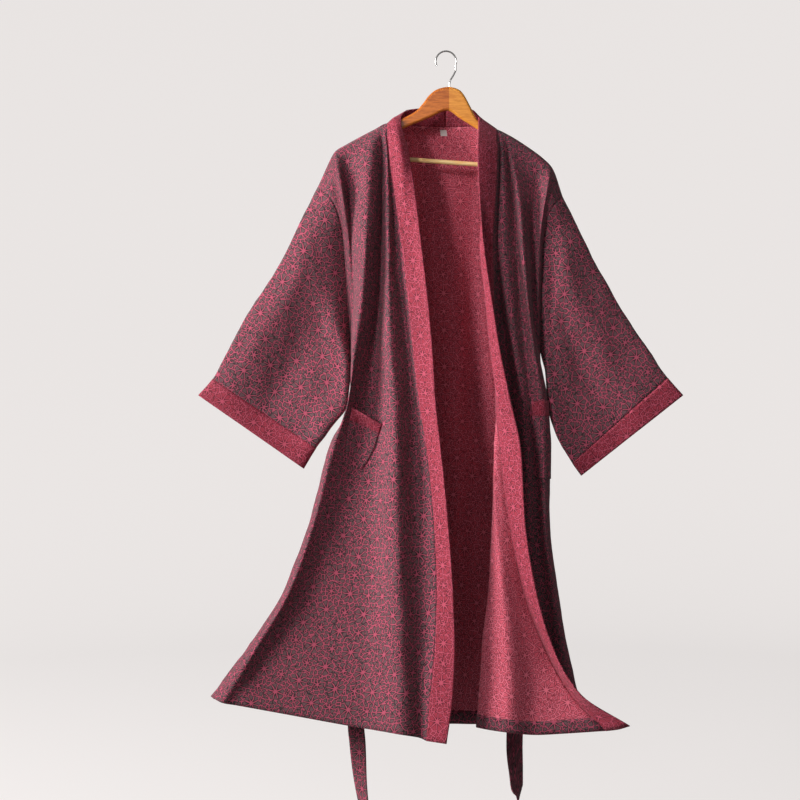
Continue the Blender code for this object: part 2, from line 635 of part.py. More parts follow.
def robe_pieces():
    """Every cloth piece as its rows of places: name, rows, wall, material name, closed ring."""
    right_front = panel(RIGHT_FRONT, RIGHT_ARMHOLE, None, 0)
    left_front = panel(LEFT_FRONT, LEFT_ARMHOLE, None, 0)
    back = panel(BACK, RIGHT_ARMHOLE, LEFT_ARMHOLE, 1)
    underarm = len(ARMHOLE_STEPS) - 1
    ring = 2 * underarm
    last = len(back[0]) - 1
    for i in range(underarm, len(back)):
        back[i][0] = right_front[i][0].copy()
        back[i][last] = left_front[i][0].copy()
    neck_start = sum(line[1] for line in BACK[:4])
    neck_end = neck_start + NECK_CELLS * (len(NECK_FOLD) - 1)
    centre = (neck_start + neck_end) // 2
    neck_ways = (range(neck_start, centre + 1), range(neck_end, centre - 1, -1))
    bands = [
        band(lines, side, [back[0][j] for j in way])
        for side, (lines, way) in enumerate(zip((RIGHT_BAND, LEFT_BAND), neck_ways))
    ]
    right_pocket_band, right_pocket = pocket(right_front, RIGHT_POCKET)
    left_pocket_band, left_pocket = pocket(left_front, LEFT_POCKET)
    loops = [loop_rows(back, column) for column in (RIGHT_LOOP_COLUMN, LEFT_LOOP_COLUMN)]
    label = label_rows(back)

    sleeves = []
    for front, column, inner, sections, hand in (
        (right_front, 0, 1, RIGHT_SLEEVE, "right"),
        (left_front, last, last - 1, LEFT_SLEEVE, "left"),
    ):
        front_seam = [row[0] for row in front[:underarm + 1]]
        back_seam = [row[column] for row in back[:underarm + 1]]
        sleeve, cuff = (
            ring_sections(front_seam, back_seam, sections, stations)
            for stations in (SLEEVE_STATIONS, CUFF_STATIONS)
        )
        head = [(sleeve, 0, j % ring, 1, j % ring) for j in range(ring + 1)]
        open_seam(column_edge(front, 0, 1, 0, underarm + 1), head[:underarm + 1], WALL)
        back_head = head[:underarm - 1:-1]
        open_seam(column_edge(back, column, inner, 0, underarm + 1), back_head, WALL)
        open_seam(column_edge(front, 0, 1, underarm), column_edge(back, column, inner, underarm), WALL)
        open_seam(row_edge(sleeve, -1, -2), row_edge(cuff, 0, 1), WALL)
        sleeves += [
            (hand + "_sleeve", sleeve, WALL, "outer cloth", True),
            (hand + "_cuff", cuff, WALL, "reverse cloth", True),
        ]

    for front, strip, way in zip((right_front, left_front), bands, neck_ways):
        top = len(front) - 1
        edge = len(front[0]) - 1
        seam = [(strip, top - i, 0, top - i, 1) for i in range(len(front))]
        open_seam(column_edge(front, edge, edge - 1), seam, BAND_WALL)
        neck = [(back, 0, j, 1, j) for j in way]
        open_seam(neck, [(strip, top + k, 0, top + k, 1) for k in range(len(neck))], BAND_WALL)
        draw_in(row_edge(front, 0, 1), SHOULDER_PULL)
    draw_in(row_edge(back, 0, 1, 0, neck_start + 1), SHOULDER_PULL)
    draw_in(row_edge(back, 0, 1, neck_end), SHOULDER_PULL)
    open_seam(row_edge(bands[0], -1, -2), row_edge(bands[1], -1, -2), BAND_WALL)
    for strip, patch in ((right_pocket_band, right_pocket), (left_pocket_band, left_pocket)):
        open_seam(row_edge(strip, -1, -2), row_edge(patch, 0, 1), WALL)

    return sleeves + [
        ("back", back, WALL, "outer cloth", False),
        ("right_front", right_front, WALL, "outer cloth", False),
        ("left_front", left_front, WALL, "outer cloth", False),
        ("right_band", bands[0], BAND_WALL, "reverse cloth", False),
        ("left_band", bands[1], BAND_WALL, "reverse cloth", False),
        ("right_pocket", right_pocket, WALL, "outer cloth", False),
        ("left_pocket", left_pocket, WALL, "outer cloth", False),
        ("right_pocket_band", right_pocket_band, WALL, "reverse cloth", False),
        ("left_pocket_band", left_pocket_band, WALL, "reverse cloth", False),
        ("right_loop", loops[0], LOOP_WALL, "outer cloth", False),
        ("left_loop", loops[1], LOOP_WALL, "outer cloth", False),
        ("belt", belt_rows(), BELT_WALL, "outer cloth", False),
        ("label", label, LABEL_WALL, "label cloth", False),
    ]


def main():
    for piece in list(bpy.data.objects):
        bpy.data.objects.remove(piece)
    collection = bpy.data.collections.new("kimono robe")
    bpy.context.scene.collection.children.link(collection)
    for name, rows, wall, cloth, ring in robe_pieces():
        make_cloth(name, rows, wall, make_material(cloth), collection, ring)
    make_hanger(collection)


main()
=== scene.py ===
"""The looks of a long cotton kimono robe on its wooden hanger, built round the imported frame.

Metres, +Z up, -Y towards the viewer, and the wearer's right side at -X. The tables are the
robe's front elevation in millimetres, as the CAD's are. A width or height is as a viewer at EYE
sees it against the hanger's plane, and as_built() carries it to its own depth.
"""

import json
import math

import bmesh
import bpy
from mathutils import Matrix, Vector, noise

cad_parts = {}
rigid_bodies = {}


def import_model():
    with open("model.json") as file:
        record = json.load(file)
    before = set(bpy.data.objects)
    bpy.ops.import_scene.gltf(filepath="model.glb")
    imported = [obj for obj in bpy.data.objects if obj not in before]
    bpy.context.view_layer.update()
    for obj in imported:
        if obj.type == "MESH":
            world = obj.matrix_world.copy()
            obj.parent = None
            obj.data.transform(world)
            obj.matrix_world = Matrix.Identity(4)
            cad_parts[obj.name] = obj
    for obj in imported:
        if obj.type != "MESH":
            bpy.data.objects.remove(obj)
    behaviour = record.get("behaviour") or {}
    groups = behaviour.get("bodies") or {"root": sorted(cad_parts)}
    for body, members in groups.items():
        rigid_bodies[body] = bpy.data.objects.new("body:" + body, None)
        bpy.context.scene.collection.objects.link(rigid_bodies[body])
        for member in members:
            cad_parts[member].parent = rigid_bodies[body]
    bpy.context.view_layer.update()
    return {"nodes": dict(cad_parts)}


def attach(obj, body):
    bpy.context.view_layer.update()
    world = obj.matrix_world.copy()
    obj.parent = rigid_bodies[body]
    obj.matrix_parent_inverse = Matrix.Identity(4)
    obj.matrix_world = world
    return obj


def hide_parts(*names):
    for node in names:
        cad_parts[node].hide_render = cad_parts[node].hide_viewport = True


for leftover in list(bpy.data.objects):
    bpy.data.objects.remove(leftover)
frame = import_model()

MM = 0.001
EYE = (-92, -3000, -696)
VIEW_HEIGHT = 1.6

WALL = 0.0012
BAND_WALL = 0.0024
CUFF_WALL = WALL * 1.6
POCKET_BAND_WALL = WALL * 1.3
HEM_WALL = 0.0007
HEM_GAP = 0.0003
POCKET_LIFT = 0.0021
# How fine the cloth is: how far rows stand apart, columns to a cell of the tables, rows to a
# section of a sleeve, rows of a cuff and of a hem, and the share of a row that the hem stays short.
ROW_SIZE = 0.0085
ACROSS_CELL = 4
SLEEVE_STATION = 16
CUFF_ROWS = 10
HEM_ROWS = 3
HEM_SHORT = 0.08

UNDERARM = -596
ARM_REACH = 8
ARM_CLEAR = 9.5
ROW_ROOM = 20
# About how long the rows' two stretches are, in metres, above and below the underarm.
ARMHOLE_RUN = 0.42
SKIRT_RUN = 0.73
ARMHOLE_STEPS = (0, 0.012, 0.035, 0.075, 0.14, 0.23, 0.34, 0.46, 0.6, 0.74, 0.86, 0.95, 1)
SKIRT_STEPS = (0.08, 0.17, 0.27, 0.37, 0.47, 0.57, 0.67, 0.77, 0.86, 0.93, 1)

HEIGHTS = (-196, -276, -376, -496, -596, -696, -796, -936, -1076, -1196, -1286)

# Each line runs down one fold or edge: name, cells to the next line, top (x, z), hem (x, z, depth),
# widths at HEIGHTS, depths at HEIGHTS. None is above the line's top or below its hem.
RIGHT_FRONT = (
    ("side", 2, None, (-464, -1294, 30),
     (None, None, None, None, -190, -189, -224, -260, -312, -386, None),
     (None, None, None, None, 9, 12, 15, 20, 25, 28, None)),
    ("outer roll", 2, (-220, -198), (-469, -1290, 12),
     (None, -208, -194, -188, -191, -191, -231, -267, -320, -396, None),
     (None, -36, -18, -8, -6, -8, -4, 0, 6, 10, None)),
    ("arm valley", 3, (-200, -186), (-471, -1288, -8),
     (-202, -196, -190, -185, -190, -193, -234, -271, -324, -401, None),
     (-12, -13, -14, -10, -22, -26, -20, -16, -12, -8, None)),
    ("first ridge", 3, (-146, -157), (-448, -1302, -45),
     (-150, -156, -160, -168, -182, -195, -226, -262, -312, -382, None),
     (-28, -46, -56, -60, -60, -56, -50, -48, -48, -46, None)),
    ("pocket valley", 1, (-130, -150), (-418, -1307, -40),
     (-128, -128, -130, -136, -146, -156, -178, -212, -276, -344, -408),
     (-13, -14, -15, -16, -18, -20, -24, -26, -28, -32, -38)),
    ("front plane", 2, (-126, -148), (-176, -1351, -64),
     (-125, -124, -125, -128, -132, -135, -140, -152, -162, -168, -174),
     (-16, -20, -24, -27, -29, -30, -32, -36, -42, -50, -60)),
    ("second ridge", 2, (-123, -146), (-86, -1366, -110),
     (-118, -116, -115, -114, -110, -102, -100, -98, -94, -91, -88),
     (-22, -36, -48, -56, -63, -70, -80, -90, -98, -103, -107)),
    ("band valley", 2, (-120, -144.5), (-52, -1372, -98),
     (-117, -110, -101, -88, -78, -68, -62, -58, -54, -52, -52),
     (-19, -27, -30, -34, -38, -42, -48, -62, -76, -86, -94)),
    ("band seam", 0, (-117, -143), (-39, -1378, -104),
     (-116, -104, -90, -76, -66, -54, -38, -24, -18, -22, -31),
     (-18, -32, -42, -48, -54, -58, -66, -78, -90, -99, -103)),
)
RIGHT_BAND = (
    RIGHT_FRONT[-1][:1] + (2,) + RIGHT_FRONT[-1][2:],
    ("band fold", 2, (-100, -130), (-19, -1381, -112),
     (-91, -82, -68, -54, -44, -36, -24, -10, -2, -2, -10),
     (-40, -48, -50, -58, -64, -70, -76, -88, -99, -107, -110)),
    ("free edge", 0, (-90, -130), (1, -1384, -118),
     (-76, -62, -50, -36, -27, -21, -10, 4, 14, 18, 14),
     (-28, -50, -62, -70, -76, -82, -88, -98, -108, -114, -117)),
)
LEFT_FRONT = (
    ("side", 2, None, (260, -1350, 30),
     (None, None, None, None, 188, 195, 198, 202, 214, 234, 250),
     (None, None, None, None, 9, 12, 16, 22, 26, 28, 30)),
    ("outer roll", 2, (212, -232), (280, -1352, 8),
     (None, 202, 188, 184, 187, 196, 203, 207, 222, 242, 262),
     (None, -36, -24, -12, -6, -4, 0, 4, 8, 8, 8)),
    ("arm valley", 2, (186, -207), (284, -1354, -10),
     (None, 178, 174, 174, 184, 201, 206, 208, 223, 244, 264),
     (None, -8, -8, -8, -12, -18, -16, -14, -12, -10, -10)),
    ("outer ridge", 2, (130, -169), (260, -1354, -26),
     (134, 144, 153, 164, 176, 190, 195, 198, 212, 230, 246),
     (-20, -34, -42, -44, -44, -42, -40, -36, -32, -28, -26)),
    ("middle valley", 2, (122, -165), (224, -1354, -16),
     (124, 134, 141, 150, 158, 170, 176, 182, 194, 208, 218),
     (-14, -16, -20, -22, -24, -26, -26, -24, -22, -19, -17)),
    ("inner ridge", 2, (111, -160), (184, -1354, -24),
     (113, 115, 117, 127, 140, 152, 160, 164, 172, 178, 182),
     (-24, -34, -38, -40, -40, -40, -38, -34, -30, -27, -25)),
    ("inner valley", 2, (107, -158), (112, -1353, -30),
     (107, 105, 102, 108, 120, 128, 132, 132, 128, 122, 114),
     (-18, -24, -24, -20, -18, -20, -22, -24, -26, -28, -29)),
    ("turn", 3, (105.6, -157), (62, -1351, -58),
     (106, 103, 99, 102, 108, 108, 98, 92, 84, 72, 66),
     (-22, -30, -30, -26, -24, -30, -44, -46, -50, -53, -57)),
    ("lapel crest", 2, (104.4, -156.6), (128, -1362, -106),
     (105, 102, 97, 99, 104, 102, 97, 101, 114, 123, 127),
     (-25, -33, -33, -29, -28, -36, -54, -66, -84, -95, -102)),
    ("lapel valley", 2, (103.2, -156), (184, -1366, -92),
     (104, 101, 96, 97, 101, 100, 102, 114, 138, 164, 178),
     (-28, -36, -36, -32, -32, -42, -58, -64, -74, -76, -84)),
    ("band seam", 0, (102, -155.4), (320, -1358, -94),
     (103, 100, 94, 96, 99, 99, 108, 126, 154, 200, 252),
     (-31, -39, -39, -35, -37, -48, -58, -60, -64, -64, -82)),
)
LEFT_BAND = (
    LEFT_FRONT[-1][:1] + (2,) + LEFT_FRONT[-1][2:],
    ("band fold", 2, (80, -140), (344, -1355, -102),
     (82, 81, 68, 79, 89, 104, 126, 140, 164, 207, 261),
     (-44, -52, -54, -58, -60, -68, -76, -78, -82, -82, -93)),
    ("free edge", 0, (65, -130), (368, -1348, -108),
     (63, 66, 75, 92, 108, 129, 150, 158, 180, 216, 270),
     (-52, -60, -68, -76, -80, -84, -92, -92, -96, -96, -106)),
)

# Armhole seams from the dropped shoulder's fold to the underarm: x, z, depth in front, depth behind.
RIGHT_ARMHOLE = (
    (-256, -270, 0, 0),
    (-231, -292, -26, 24),
    (-215, -324, -22, 25),
    (-206, -376, -8, 23),
    (-198, -496, 4, 21),
    (-190, UNDERARM, 9, 9),
)
LEFT_ARMHOLE = (
    (233, -290, 0, 0),
    (215, -308, -24, 24),
    (200, -340, -14, 22),
    (193, -396, -4, 20),
    (190, -496, 3, 18),
    (188, UNDERARM, 9, 9),
)

# The back's own lines, from the wearer's right side seam to the left one. A top of three values
# is on the neckline, at its own depth.
BACK = (
    RIGHT_FRONT[0][:1] + (2,) + RIGHT_FRONT[0][2:],
    ("right outer", 2, (-220, -198), (-458, -1292, 44),
     (None, -214, -192, -186, -187, -188, -218, -252, -302, -374, None),
     (None, 26, 22, 24, 20, 24, 28, 34, 40, 44, None)),
    ("right arm", 2, (-200, -186), (-428, -1298, 58),
     (-201, -195, -188, -180, -178, -178, -202, -234, -280, -346, None),
     (14, 20, 26, 30, 34, 38, 44, 52, 58, 58, None)),
    ("right blade", 2, (-146, -157), (-290, -1318, 72),
     (-148, -149, -150, -148, -146, -146, -158, -178, -206, -240, -270),
     (16, 26, 34, 42, 48, 54, 60, 66, 70, 72, 72)),
    ("right neck point", 2, (-117, -143), (-172, -1330, 92),
     (-118, -116, -114, -112, -110, -108, -112, -120, -134, -150, -166),
     (19, 34, 46, 54, 60, 66, 72, 80, 86, 90, 92)),
    ("right nape", 2, (-92, -142, 28), (-94, -1338, 94),
     (-90, -86, -82, -78, -76, -74, -74, -76, -80, -86, -92),
     (31, 38, 46, 54, 60, 66, 72, 80, 86, 91, 93)),
    ("right fold", 2, (-52, -148, 52), (-40, -1342, 104),
     (-50, -48, -46, -44, -42, -40, -40, -40, -40, -40, -40),
     (55, 58, 62, 66, 72, 78, 84, 92, 98, 102, 104)),
    ("centre", 2, (0, -150, 60), (20, -1344, 98),
     (6, 12, 18, 20, 20, 20, 20, 20, 20, 20, 20),
     (59, 55, 52, 55, 60, 66, 72, 80, 88, 94, 97)),
    ("left fold", 2, (48, -149, 50), (62, -1344, 108),
     (49, 50, 52, 52, 52, 52, 54, 56, 58, 60, 62),
     (54, 59, 64, 69, 75, 80, 86, 94, 100, 105, 107)),
    ("left nape", 2, (84, -151, 26), (106, -1346, 98),
     (84, 82, 82, 82, 82, 84, 86, 88, 92, 98, 104),
     (30, 38, 46, 54, 61, 67, 73, 81, 88, 94, 97)),
    ("left neck point", 2, (102, -155.4), (150, -1347, 92),
     (104, 105, 107, 108, 110, 112, 115, 119, 128, 138, 146),
     (19, 33, 44, 52, 59, 65, 71, 78, 85, 90, 91)),
    ("left blade", 2, (130, -169), (206, -1349, 72),
     (136, 140, 142, 144, 148, 152, 156, 164, 176, 190, 200),
     (14, 24, 32, 38, 43, 48, 52, 58, 64, 68, 71)),
    ("left arm", 2, (194, -213), (252, -1351, 56),
     (None, 187, 176, 174, 178, 184, 188, 192, 204, 222, 240),
     (None, 16, 22, 28, 31, 34, 38, 44, 50, 54, 56)),
    ("left outer", 2, (212, -232), (268, -1351, 44),
     (None, 210, 184, 180, 184, 192, 196, 200, 212, 232, 252),
     (None, 24, 22, 22, 20, 24, 28, 34, 40, 42, 43)),
    LEFT_FRONT[0],
)

# The band round the neck, from one shoulder to the other: fold and free edge, x, z and depth, at
# the back's lines from the right neck point to the left one.
NECK_CELLS = 2
NECK_FOLD = (
    (-100, -130, 0), (-86, -124, 24), (-46, -128, 48), (0, -131, 58),
    (36, -129, 50), (62, -130, 30), (80, -140, 0),
)
NECK_EDGE = (
    (-90, -130, 0), (-78, -117, 24), (-42, -112, 45), (0, -110.4, 52),
    (32, -111, 46), (54, -117, 26), (65, -130, 0),
)

# Sleeve sections from the armhole to the cuff's edge: top (x, z), underside (x, z), half depth.
RIGHT_SLEEVE = (
    ((-256, -270), (-190, UNDERARM), 26),
    ((-290, -336), (-192, -642), 26),
    ((-324, -410), (-196, -704), 25),
    ((-400, -531), (-232, -754), 20),
    ((-466, -654), (-260, -792), 15),
    ((-495, -687), (-285, -833), 13),
)
LEFT_SLEEVE = (
    ((233, -290), (188, UNDERARM), 24),
    ((254, -334), (199, -644), 26),
    ((294, -412), (207, -720), 25),
    ((345, -504), (226, -776), 20),
    ((443, -652), (253, -822), 15),
    ((474, -687), (271, -847), 13),
)
SLEEVE_ROUNDNESS = 0.6

# Pocket edges in the panel's own cells (column, row), mouth first. The mouth may bridge a fold
# and gape. The patch lies off the panel by the pockets' lift, on this side of the panel's normal.
POCKET_BAND = 0.21
POCKET_BAND_ROWS = 6
POCKET_PATCH_ROWS = 22
MOUTH_FADE = 2.5
RIGHT_POCKET = {
    "inner": ((11.7, 14.25), (11.2, 14.65), (10.8, 15.1), (10.4, 15.6)),
    "outer": ((8.0, 13.9), (8.3, 14.5), (8.7, 15.05), (9.1, 15.55)),
    "bridged": 1.0,
    "gape": 0.005,
    "side": -1,
}
LEFT_POCKET = {
    "inner": ((8, 13.6), (8, 14.3), (8, 15.0), (8, 15.7)),
    "outer": ((2, 13.6), (2, 14.3), (2, 15.0), (2, 15.7)),
    "bridged": 0.0,
    "gape": 0.002,
    "side": 1,
}

BELT_WIDTH = 0.034
BELT_WALL = 0.0016
# The belt's middle line from one hanging end to the other: x, z, depth, and its turn about its own
# line in degrees.
BELT = (
    (-164, -1512, 93, 54), (-172, -1450, 95, 36), (-177, -1382, 97, 10), (-180, -1340, 98, 0),
    (-178, -1200, 93, 0), (-176, -1000, 81, 0), (-172, -850, 70, 0), (-170, -760, 65, 0),
    (-164, -720, 61, 0), (-144, -704, 62.5, 0), (-108, -702, 72.5, 0), (-74, -703, 77, 0),
    (-40, -704, 83, 0), (10, -705, 84, 0), (52, -704, 85, 0), (84, -703, 79, 0),
    (112, -702, 71, 0), (144, -704, 59, 0), (164, -722, 57, 0), (172, -766, 55, 0),
    (172, -860, 62, 0), (162, -1000, 76, 0), (150, -1180, 94, 0), (138, -1340, 100, 0),
    (137, -1390, 101, 6), (140, -1440, 101, 30), (142, -1470, 100, 42), (145, -1484, 100, 70),
    (145, -1500, 99, 84),
)
# Belt loops stand on the back round the belt's level run, at these columns of the back's cells.
LOOP_WIDTH = 0.008
LOOP_WALL = 0.0012
LOOP_STAND = 0.0085
LOOP_RISE = 3
LOOP_ROWS = (13.3, 14.16)
RIGHT_LOOP_COLUMN = 6.3
LEFT_LOOP_COLUMN = 21

# The label's corners in the back's own cells.
LABEL_WALL = 0.0008
LABEL_COLUMNS = (13.5, 14)
LABEL_ROWS = (1.1, 2.15)
LABEL_RIB = 0.0007

WOOD_THICKNESS = 0.011
WOOD_ROUNDING = 0.005
HANGER_OUTLINE = (
    (-200, -219), (-212, -211), (-214, -202), (-202, -191.2), (-160, -168.3), (-116, -147.2),
    (-90, -135), (-60, -118), (-46, -102.8), (-34, -87), (-18, -75), (6, -70), (26, -75.6),
    (36, -86), (47, -106), (53.2, -118), (64, -136.6), (102, -160), (158, -193), (190, -214.8),
    (200, -223), (200, -233), (188, -246), (169.5, -242), (170.6, -227), (148, -211), (102, -182),
    (62.4, -154.8), (28, -133), (2.6, -117.8), (-32, -131.6), (-79.2, -151), (-116, -170),
    (-160, -190), (-182.6, -199), (-183.6, -213),
)
HOOK_WIRE = 0.0032
HOOK_RADIUS = 20.5
HOOK_STEPS = 64
HOOK_FROM = 205
HOOK_TO = -25
CURVE_STEPS = 6
HOOK_STEM = ((19.4, -37), (14, -48), (8.6, -57), (7, -64), (6.6, -69.9))

# Folds of worn cotton: how often they come across and down, per metre, and how deep they are.
CRUMPLES = ((21, 8, 0.0032), (46, 24, 0.0013), (105, 75, 0.0005))
SEAM_FADE = 0.035

# Folds of the sleeves' front (-1) and back (1): how far down from the top fold to the underside,
# width, and height at each section.
RIGHT_FOLDS = {
    -1: (
        (0.15, 0.1, (0, 5, 7, 7, 3, 0)),
        (0.5, 0.17, (0, -9, -15, -14, -7, 0)),
        (1.0, 0.17, (0, 22, 32, 32, 20, 8)),
    ),
    1: ((0.35, 0.09, (0, 4, 6, 5, 2, 0)), (0.65, 0.1, (0, 5, 6, 4, 2, 0))),
}
LEFT_FOLDS = {
    -1: (
        (0.3, 0.12, (0, 4, 6, 6, 3, 0)),
        (0.55, 0.1, (0, -3, -6, -8, -5, 0)),
        (1.0, 0.14, (0, 12, 16, 14, 8, 2)),
    ),
    1: ((0.35, 0.09, (0, 4, 6, 5, 2, 0)), (0.65, 0.1, (0, 5, 6, 4, 2, 0))),
}

# The woven pattern: its threads, how far apart medallions stand and forms drift, in metres, and
# how many cells vines run round, per metre.
THREAD = 0.0018
MEDALLION_PITCH = 0.075
DRIFT = 0.005
VINES = 122.0
# Its forms, in millimetres: the rays of medallions and rosettes as count, slimness and reach, the
# petals' ring as radius and swing, where vines end round both, and how lines and their dark edges
# fade. FAR is how fast a form ends past its reach.
MEDALLION_RAYS = (8, 0.26, 14.5)
ROSETTE_RAYS = (6, 0.32, 7.0)
PETAL_RING = (16.0, 3.2)
VINES_END = (15.0, 6.0)
VINE_BREAKS = (0.58, 0.66)
LINE_FADE = (1.05, 0.65)
DARK_FADE = (2.3, 1.7)
FAR = 1.2

STAGE_FLOOR = -1.9
STAGE_TOP = 4.6
STAGE_FLAT = 3.4
STAGE_RADIUS = 6.0
STAGE_SIDES = 96
COVE = 1.6
COVE_STEPS = 12
STAGE_COLOUR = (0.807, 0.775, 0.762, 1.0)
STAGE_SHADE = (0.3, 0.29, 0.29, 1.0)
STAGE_GLOW = 0.81
LIGHTS = (
    ("key", (-5.5, -1.9, 1.2), (0, 0, -0.65), 2.8, 580, (1.0, 0.97, 0.95), 180),
    ("front", (-0.6, -4.2, 1.2), (0, 0, -0.75), 2.0, 11, (1.0, 0.98, 0.98), 180),
    ("side", (-2.4, -3.4, 0.5), (0.42, 0, -0.6), 0.8, 2.4, (1.0, 0.98, 0.97), 28),
)
WORLD_COLOUR = (1.0, 0.98, 0.98, 1.0)
WORLD_STRENGTH = 0.15


def smooth(knots, values, at):
    """A curve through the values that never swings past them, read at one place."""
    if at <= knots[0]:
        return values[0]
    if at >= knots[-1]:
        return values[-1]
    widths = [b - a for a, b in zip(knots, knots[1:])]
    rates = [(b - a) / w for a, b, w in zip(values, values[1:], widths)]
    slopes = [rates[0]]
    for i in range(1, len(rates)):
        before, after = rates[i - 1], rates[i]
        if before * after <= 0:
            slopes.append(0)
            continue
        near, far = 2 * widths[i] + widths[i - 1], widths[i] + 2 * widths[i - 1]
        slopes.append((near + far) / (near / before + far / after))
    slopes.append(rates[-1])
    i = next(k for k in range(len(widths)) if at <= knots[k + 1])
    t, w = (at - knots[i]) / widths[i], widths[i]
    return (
        values[i] * (1 + 2 * t) * (1 - t) ** 2
        + slopes[i] * w * t * (1 - t) ** 2
        + values[i + 1] * t * t * (3 - 2 * t)
        - slopes[i + 1] * w * t * t * (1 - t)
    )


def as_built(x, z, depth):
    """A place of the front elevation, in metres, at its own depth."""
    reach = (depth - EYE[1]) / -EYE[1]
    return Vector((EYE[0] + (x - EYE[0]) * reach, depth, EYE[2] + (z - EYE[2]) * reach)) * MM


def line_places(line, armhole, side):
    """A line's places from top to hem: x, z and depth, in front for side 0 and behind for 1."""
    top, hem, widths, depths = line[2:]
    if top is None:
        places = [(row[0], row[1], row[2 + side]) for row in armhole]
    elif len(top) == 3:
        places = [top]
    else:
        rest = (-ARM_CLEAR, ARM_CLEAR)[side]
        places = [(*top, 0), (top[0], top[1] - ARM_REACH, rest)]
    highest = places[-1][1] - ROW_ROOM
    for height, x, depth in zip(HEIGHTS, widths, depths):
        if x is not None and hem[1] + ROW_ROOM < height < highest:
            places.append((x, height, depth))
    return places + [hem]


def run_down(line, armhole, side):
    """One line's places at every row of its panel."""
    places = line_places(line, armhole, side)
    levels = [-place[1] for place in places]
    top, hem = places[0][1], places[-1][1]
    rows = [top + (UNDERARM - top) * step for step in ARMHOLE_LEVELS]
    rows += [UNDERARM + (hem - UNDERARM) * step for step in SKIRT_LEVELS[1:]]
    widths, depths = [place[0] for place in places], [place[2] for place in places]
    return [(smooth(levels, widths, -z), z, smooth(levels, depths, -z)) for z in rows]


def across(cells, columns):
    """Rows of places that run smoothly from line to line, with the cells each line asks for."""
    knots = range(len(columns))
    cells = [count * ACROSS_CELL for count in cells]
    stations = [i + k / cells[i] for i in knots[:-1] for k in range(cells[i])] + [knots[-1]]
    return [
        [tuple(smooth(knots, axis, at) for axis in zip(*row)) for at in stations]
        for row in zip(*columns)
    ]


def metres(rows):
    return [[as_built(*place) for place in row] for row in rows]


def panel(lines, right_armhole, left_armhole, side):
    columns = [
        run_down(line, right_armhole if line is lines[0] else left_armhole, side)
        for line in lines
    ]
    return metres(across([line[1] for line in lines], columns))


def band(lines, side, neck_seam):
    """Half of the collar band: its front from the hem to the shoulder, then round the neck.

    Its first row is the hem and its last the centre back. side is 0 for the wearer's right.
    """
    rows = panel(lines, None, None, 0)[::-1]
    cells = [line[1] for line in lines]
    half = len(NECK_FOLD) // 2 + 1
    fold, edge = ((NECK_FOLD, NECK_EDGE), (NECK_FOLD[::-1], NECK_EDGE[::-1]))[side]
    for k, seam in enumerate(neck_seam[1:], 1):
        at = k / NECK_CELLS / ACROSS_CELL
        places = [
            as_built(*(smooth(range(half), axis, at) for axis in zip(*line[:half])))
            for line in (fold, edge)
        ]
        filled = across(cells, [[seam], [places[0]], [places[1]]])[0]
        rows.append([Vector(place) for place in filled])
    return rows


def finer(steps, length):
    """Levels between the given ones, about ROW_SIZE apart on a run of that length."""
    levels = [steps[0]]
    starts = [0]
    for a, b in zip(steps, steps[1:]):
        count = max(1, round((b - a) * length / ROW_SIZE))
        levels += [a + (b - a) * k / count for k in range(1, count + 1)]
        starts.append(len(levels) - 1)
    return levels, starts


ARMHOLE_LEVELS, ARMHOLE_STARTS = finer(ARMHOLE_STEPS, ARMHOLE_RUN)
SKIRT_LEVELS, SKIRT_STARTS = finer((0,) + SKIRT_STEPS, SKIRT_RUN)
ROW_STARTS = ARMHOLE_STARTS + [ARMHOLE_STARTS[-1] + start for start in SKIRT_STARTS[1:]]


def fine_row(row):
    """The fine grid's row, with its fraction, at a row of the coarse grid."""
    i = min(int(row), len(ROW_STARTS) - 2)
    return ROW_STARTS[i] + (ROW_STARTS[i + 1] - ROW_STARTS[i]) * (row - i)


def sleeve_sections(front_seam, back_seam, sections, stations, folds):
    """A sleeve's rows of places round and round, from the armhole to the last station."""
    knots = range(len(sections))
    rows = [[] for at in stations]
    for forward, seam in ((-1, front_seam), (1, back_seam)):
        halves = [[] for at in stations]
        for j, down in enumerate(ARMHOLE_LEVELS):
            path = [seam[j]]
            for n, (top, bottom, depth) in enumerate(sections[1:], 1):
                swell = depth * math.sin(math.pi * down) ** SLEEVE_ROUNDNESS
                for at, width, heights in folds[forward]:
                    swell += heights[n] * math.exp(-((down - at) / width) ** 2)
                path.append(as_built(
                    top[0] + (bottom[0] - top[0]) * down,
                    top[1] + (bottom[1] - top[1]) * down,
                    forward * swell,
                ))
            for half, at in zip(halves, stations):
                half.append(Vector([smooth(knots, axis, at) for axis in zip(*path)]))
        for row, half in zip(rows, halves):
            row += half if forward < 0 else half[-2:0:-1]
    return rows


def normal_at(rows, i, j, ring=False):
    width = len(rows[0])
    left, right = (j - 1, j + 1) if ring else (max(j - 1, 0), min(j + 1, width - 1))
    above, below = rows[max(i - 1, 0)][j], rows[min(i + 1, len(rows) - 1)][j]
    across_it = rows[i][right % width] - rows[i][left % width]
    return across_it.cross(below - above).normalized()


def sample(rows, column, row):
    """The place on a fine grid at a fractional cell, and its normal."""
    i, j = min(int(row), len(rows) - 2), min(int(column), len(rows[0]) - 2)
    corners = [
        (rows[m][n], normal_at(rows, m, n))
        for m, n in ((i, j), (i, j + 1), (i + 1, j), (i + 1, j + 1))
    ]
    place, normal = (
        a.lerp(b, column - j).lerp(c.lerp(d, column - j), row - i) for a, b, c, d in zip(*corners)
    )
    return place, normal.normalized()


def lengths(places):
    """How far along a run of places each one lies."""
    run = [0.0]
    for a, b in zip(places, places[1:]):
        run.append(run[-1] + (b - a).length)
    return run


def weave_places(rows):
    """Each place's own threads, in metres: how far across its row and down its column."""
    across_it = [lengths(row) for row in rows]
    down_it = list(zip(*[lengths(column) for column in zip(*rows)]))
    return across_it, down_it


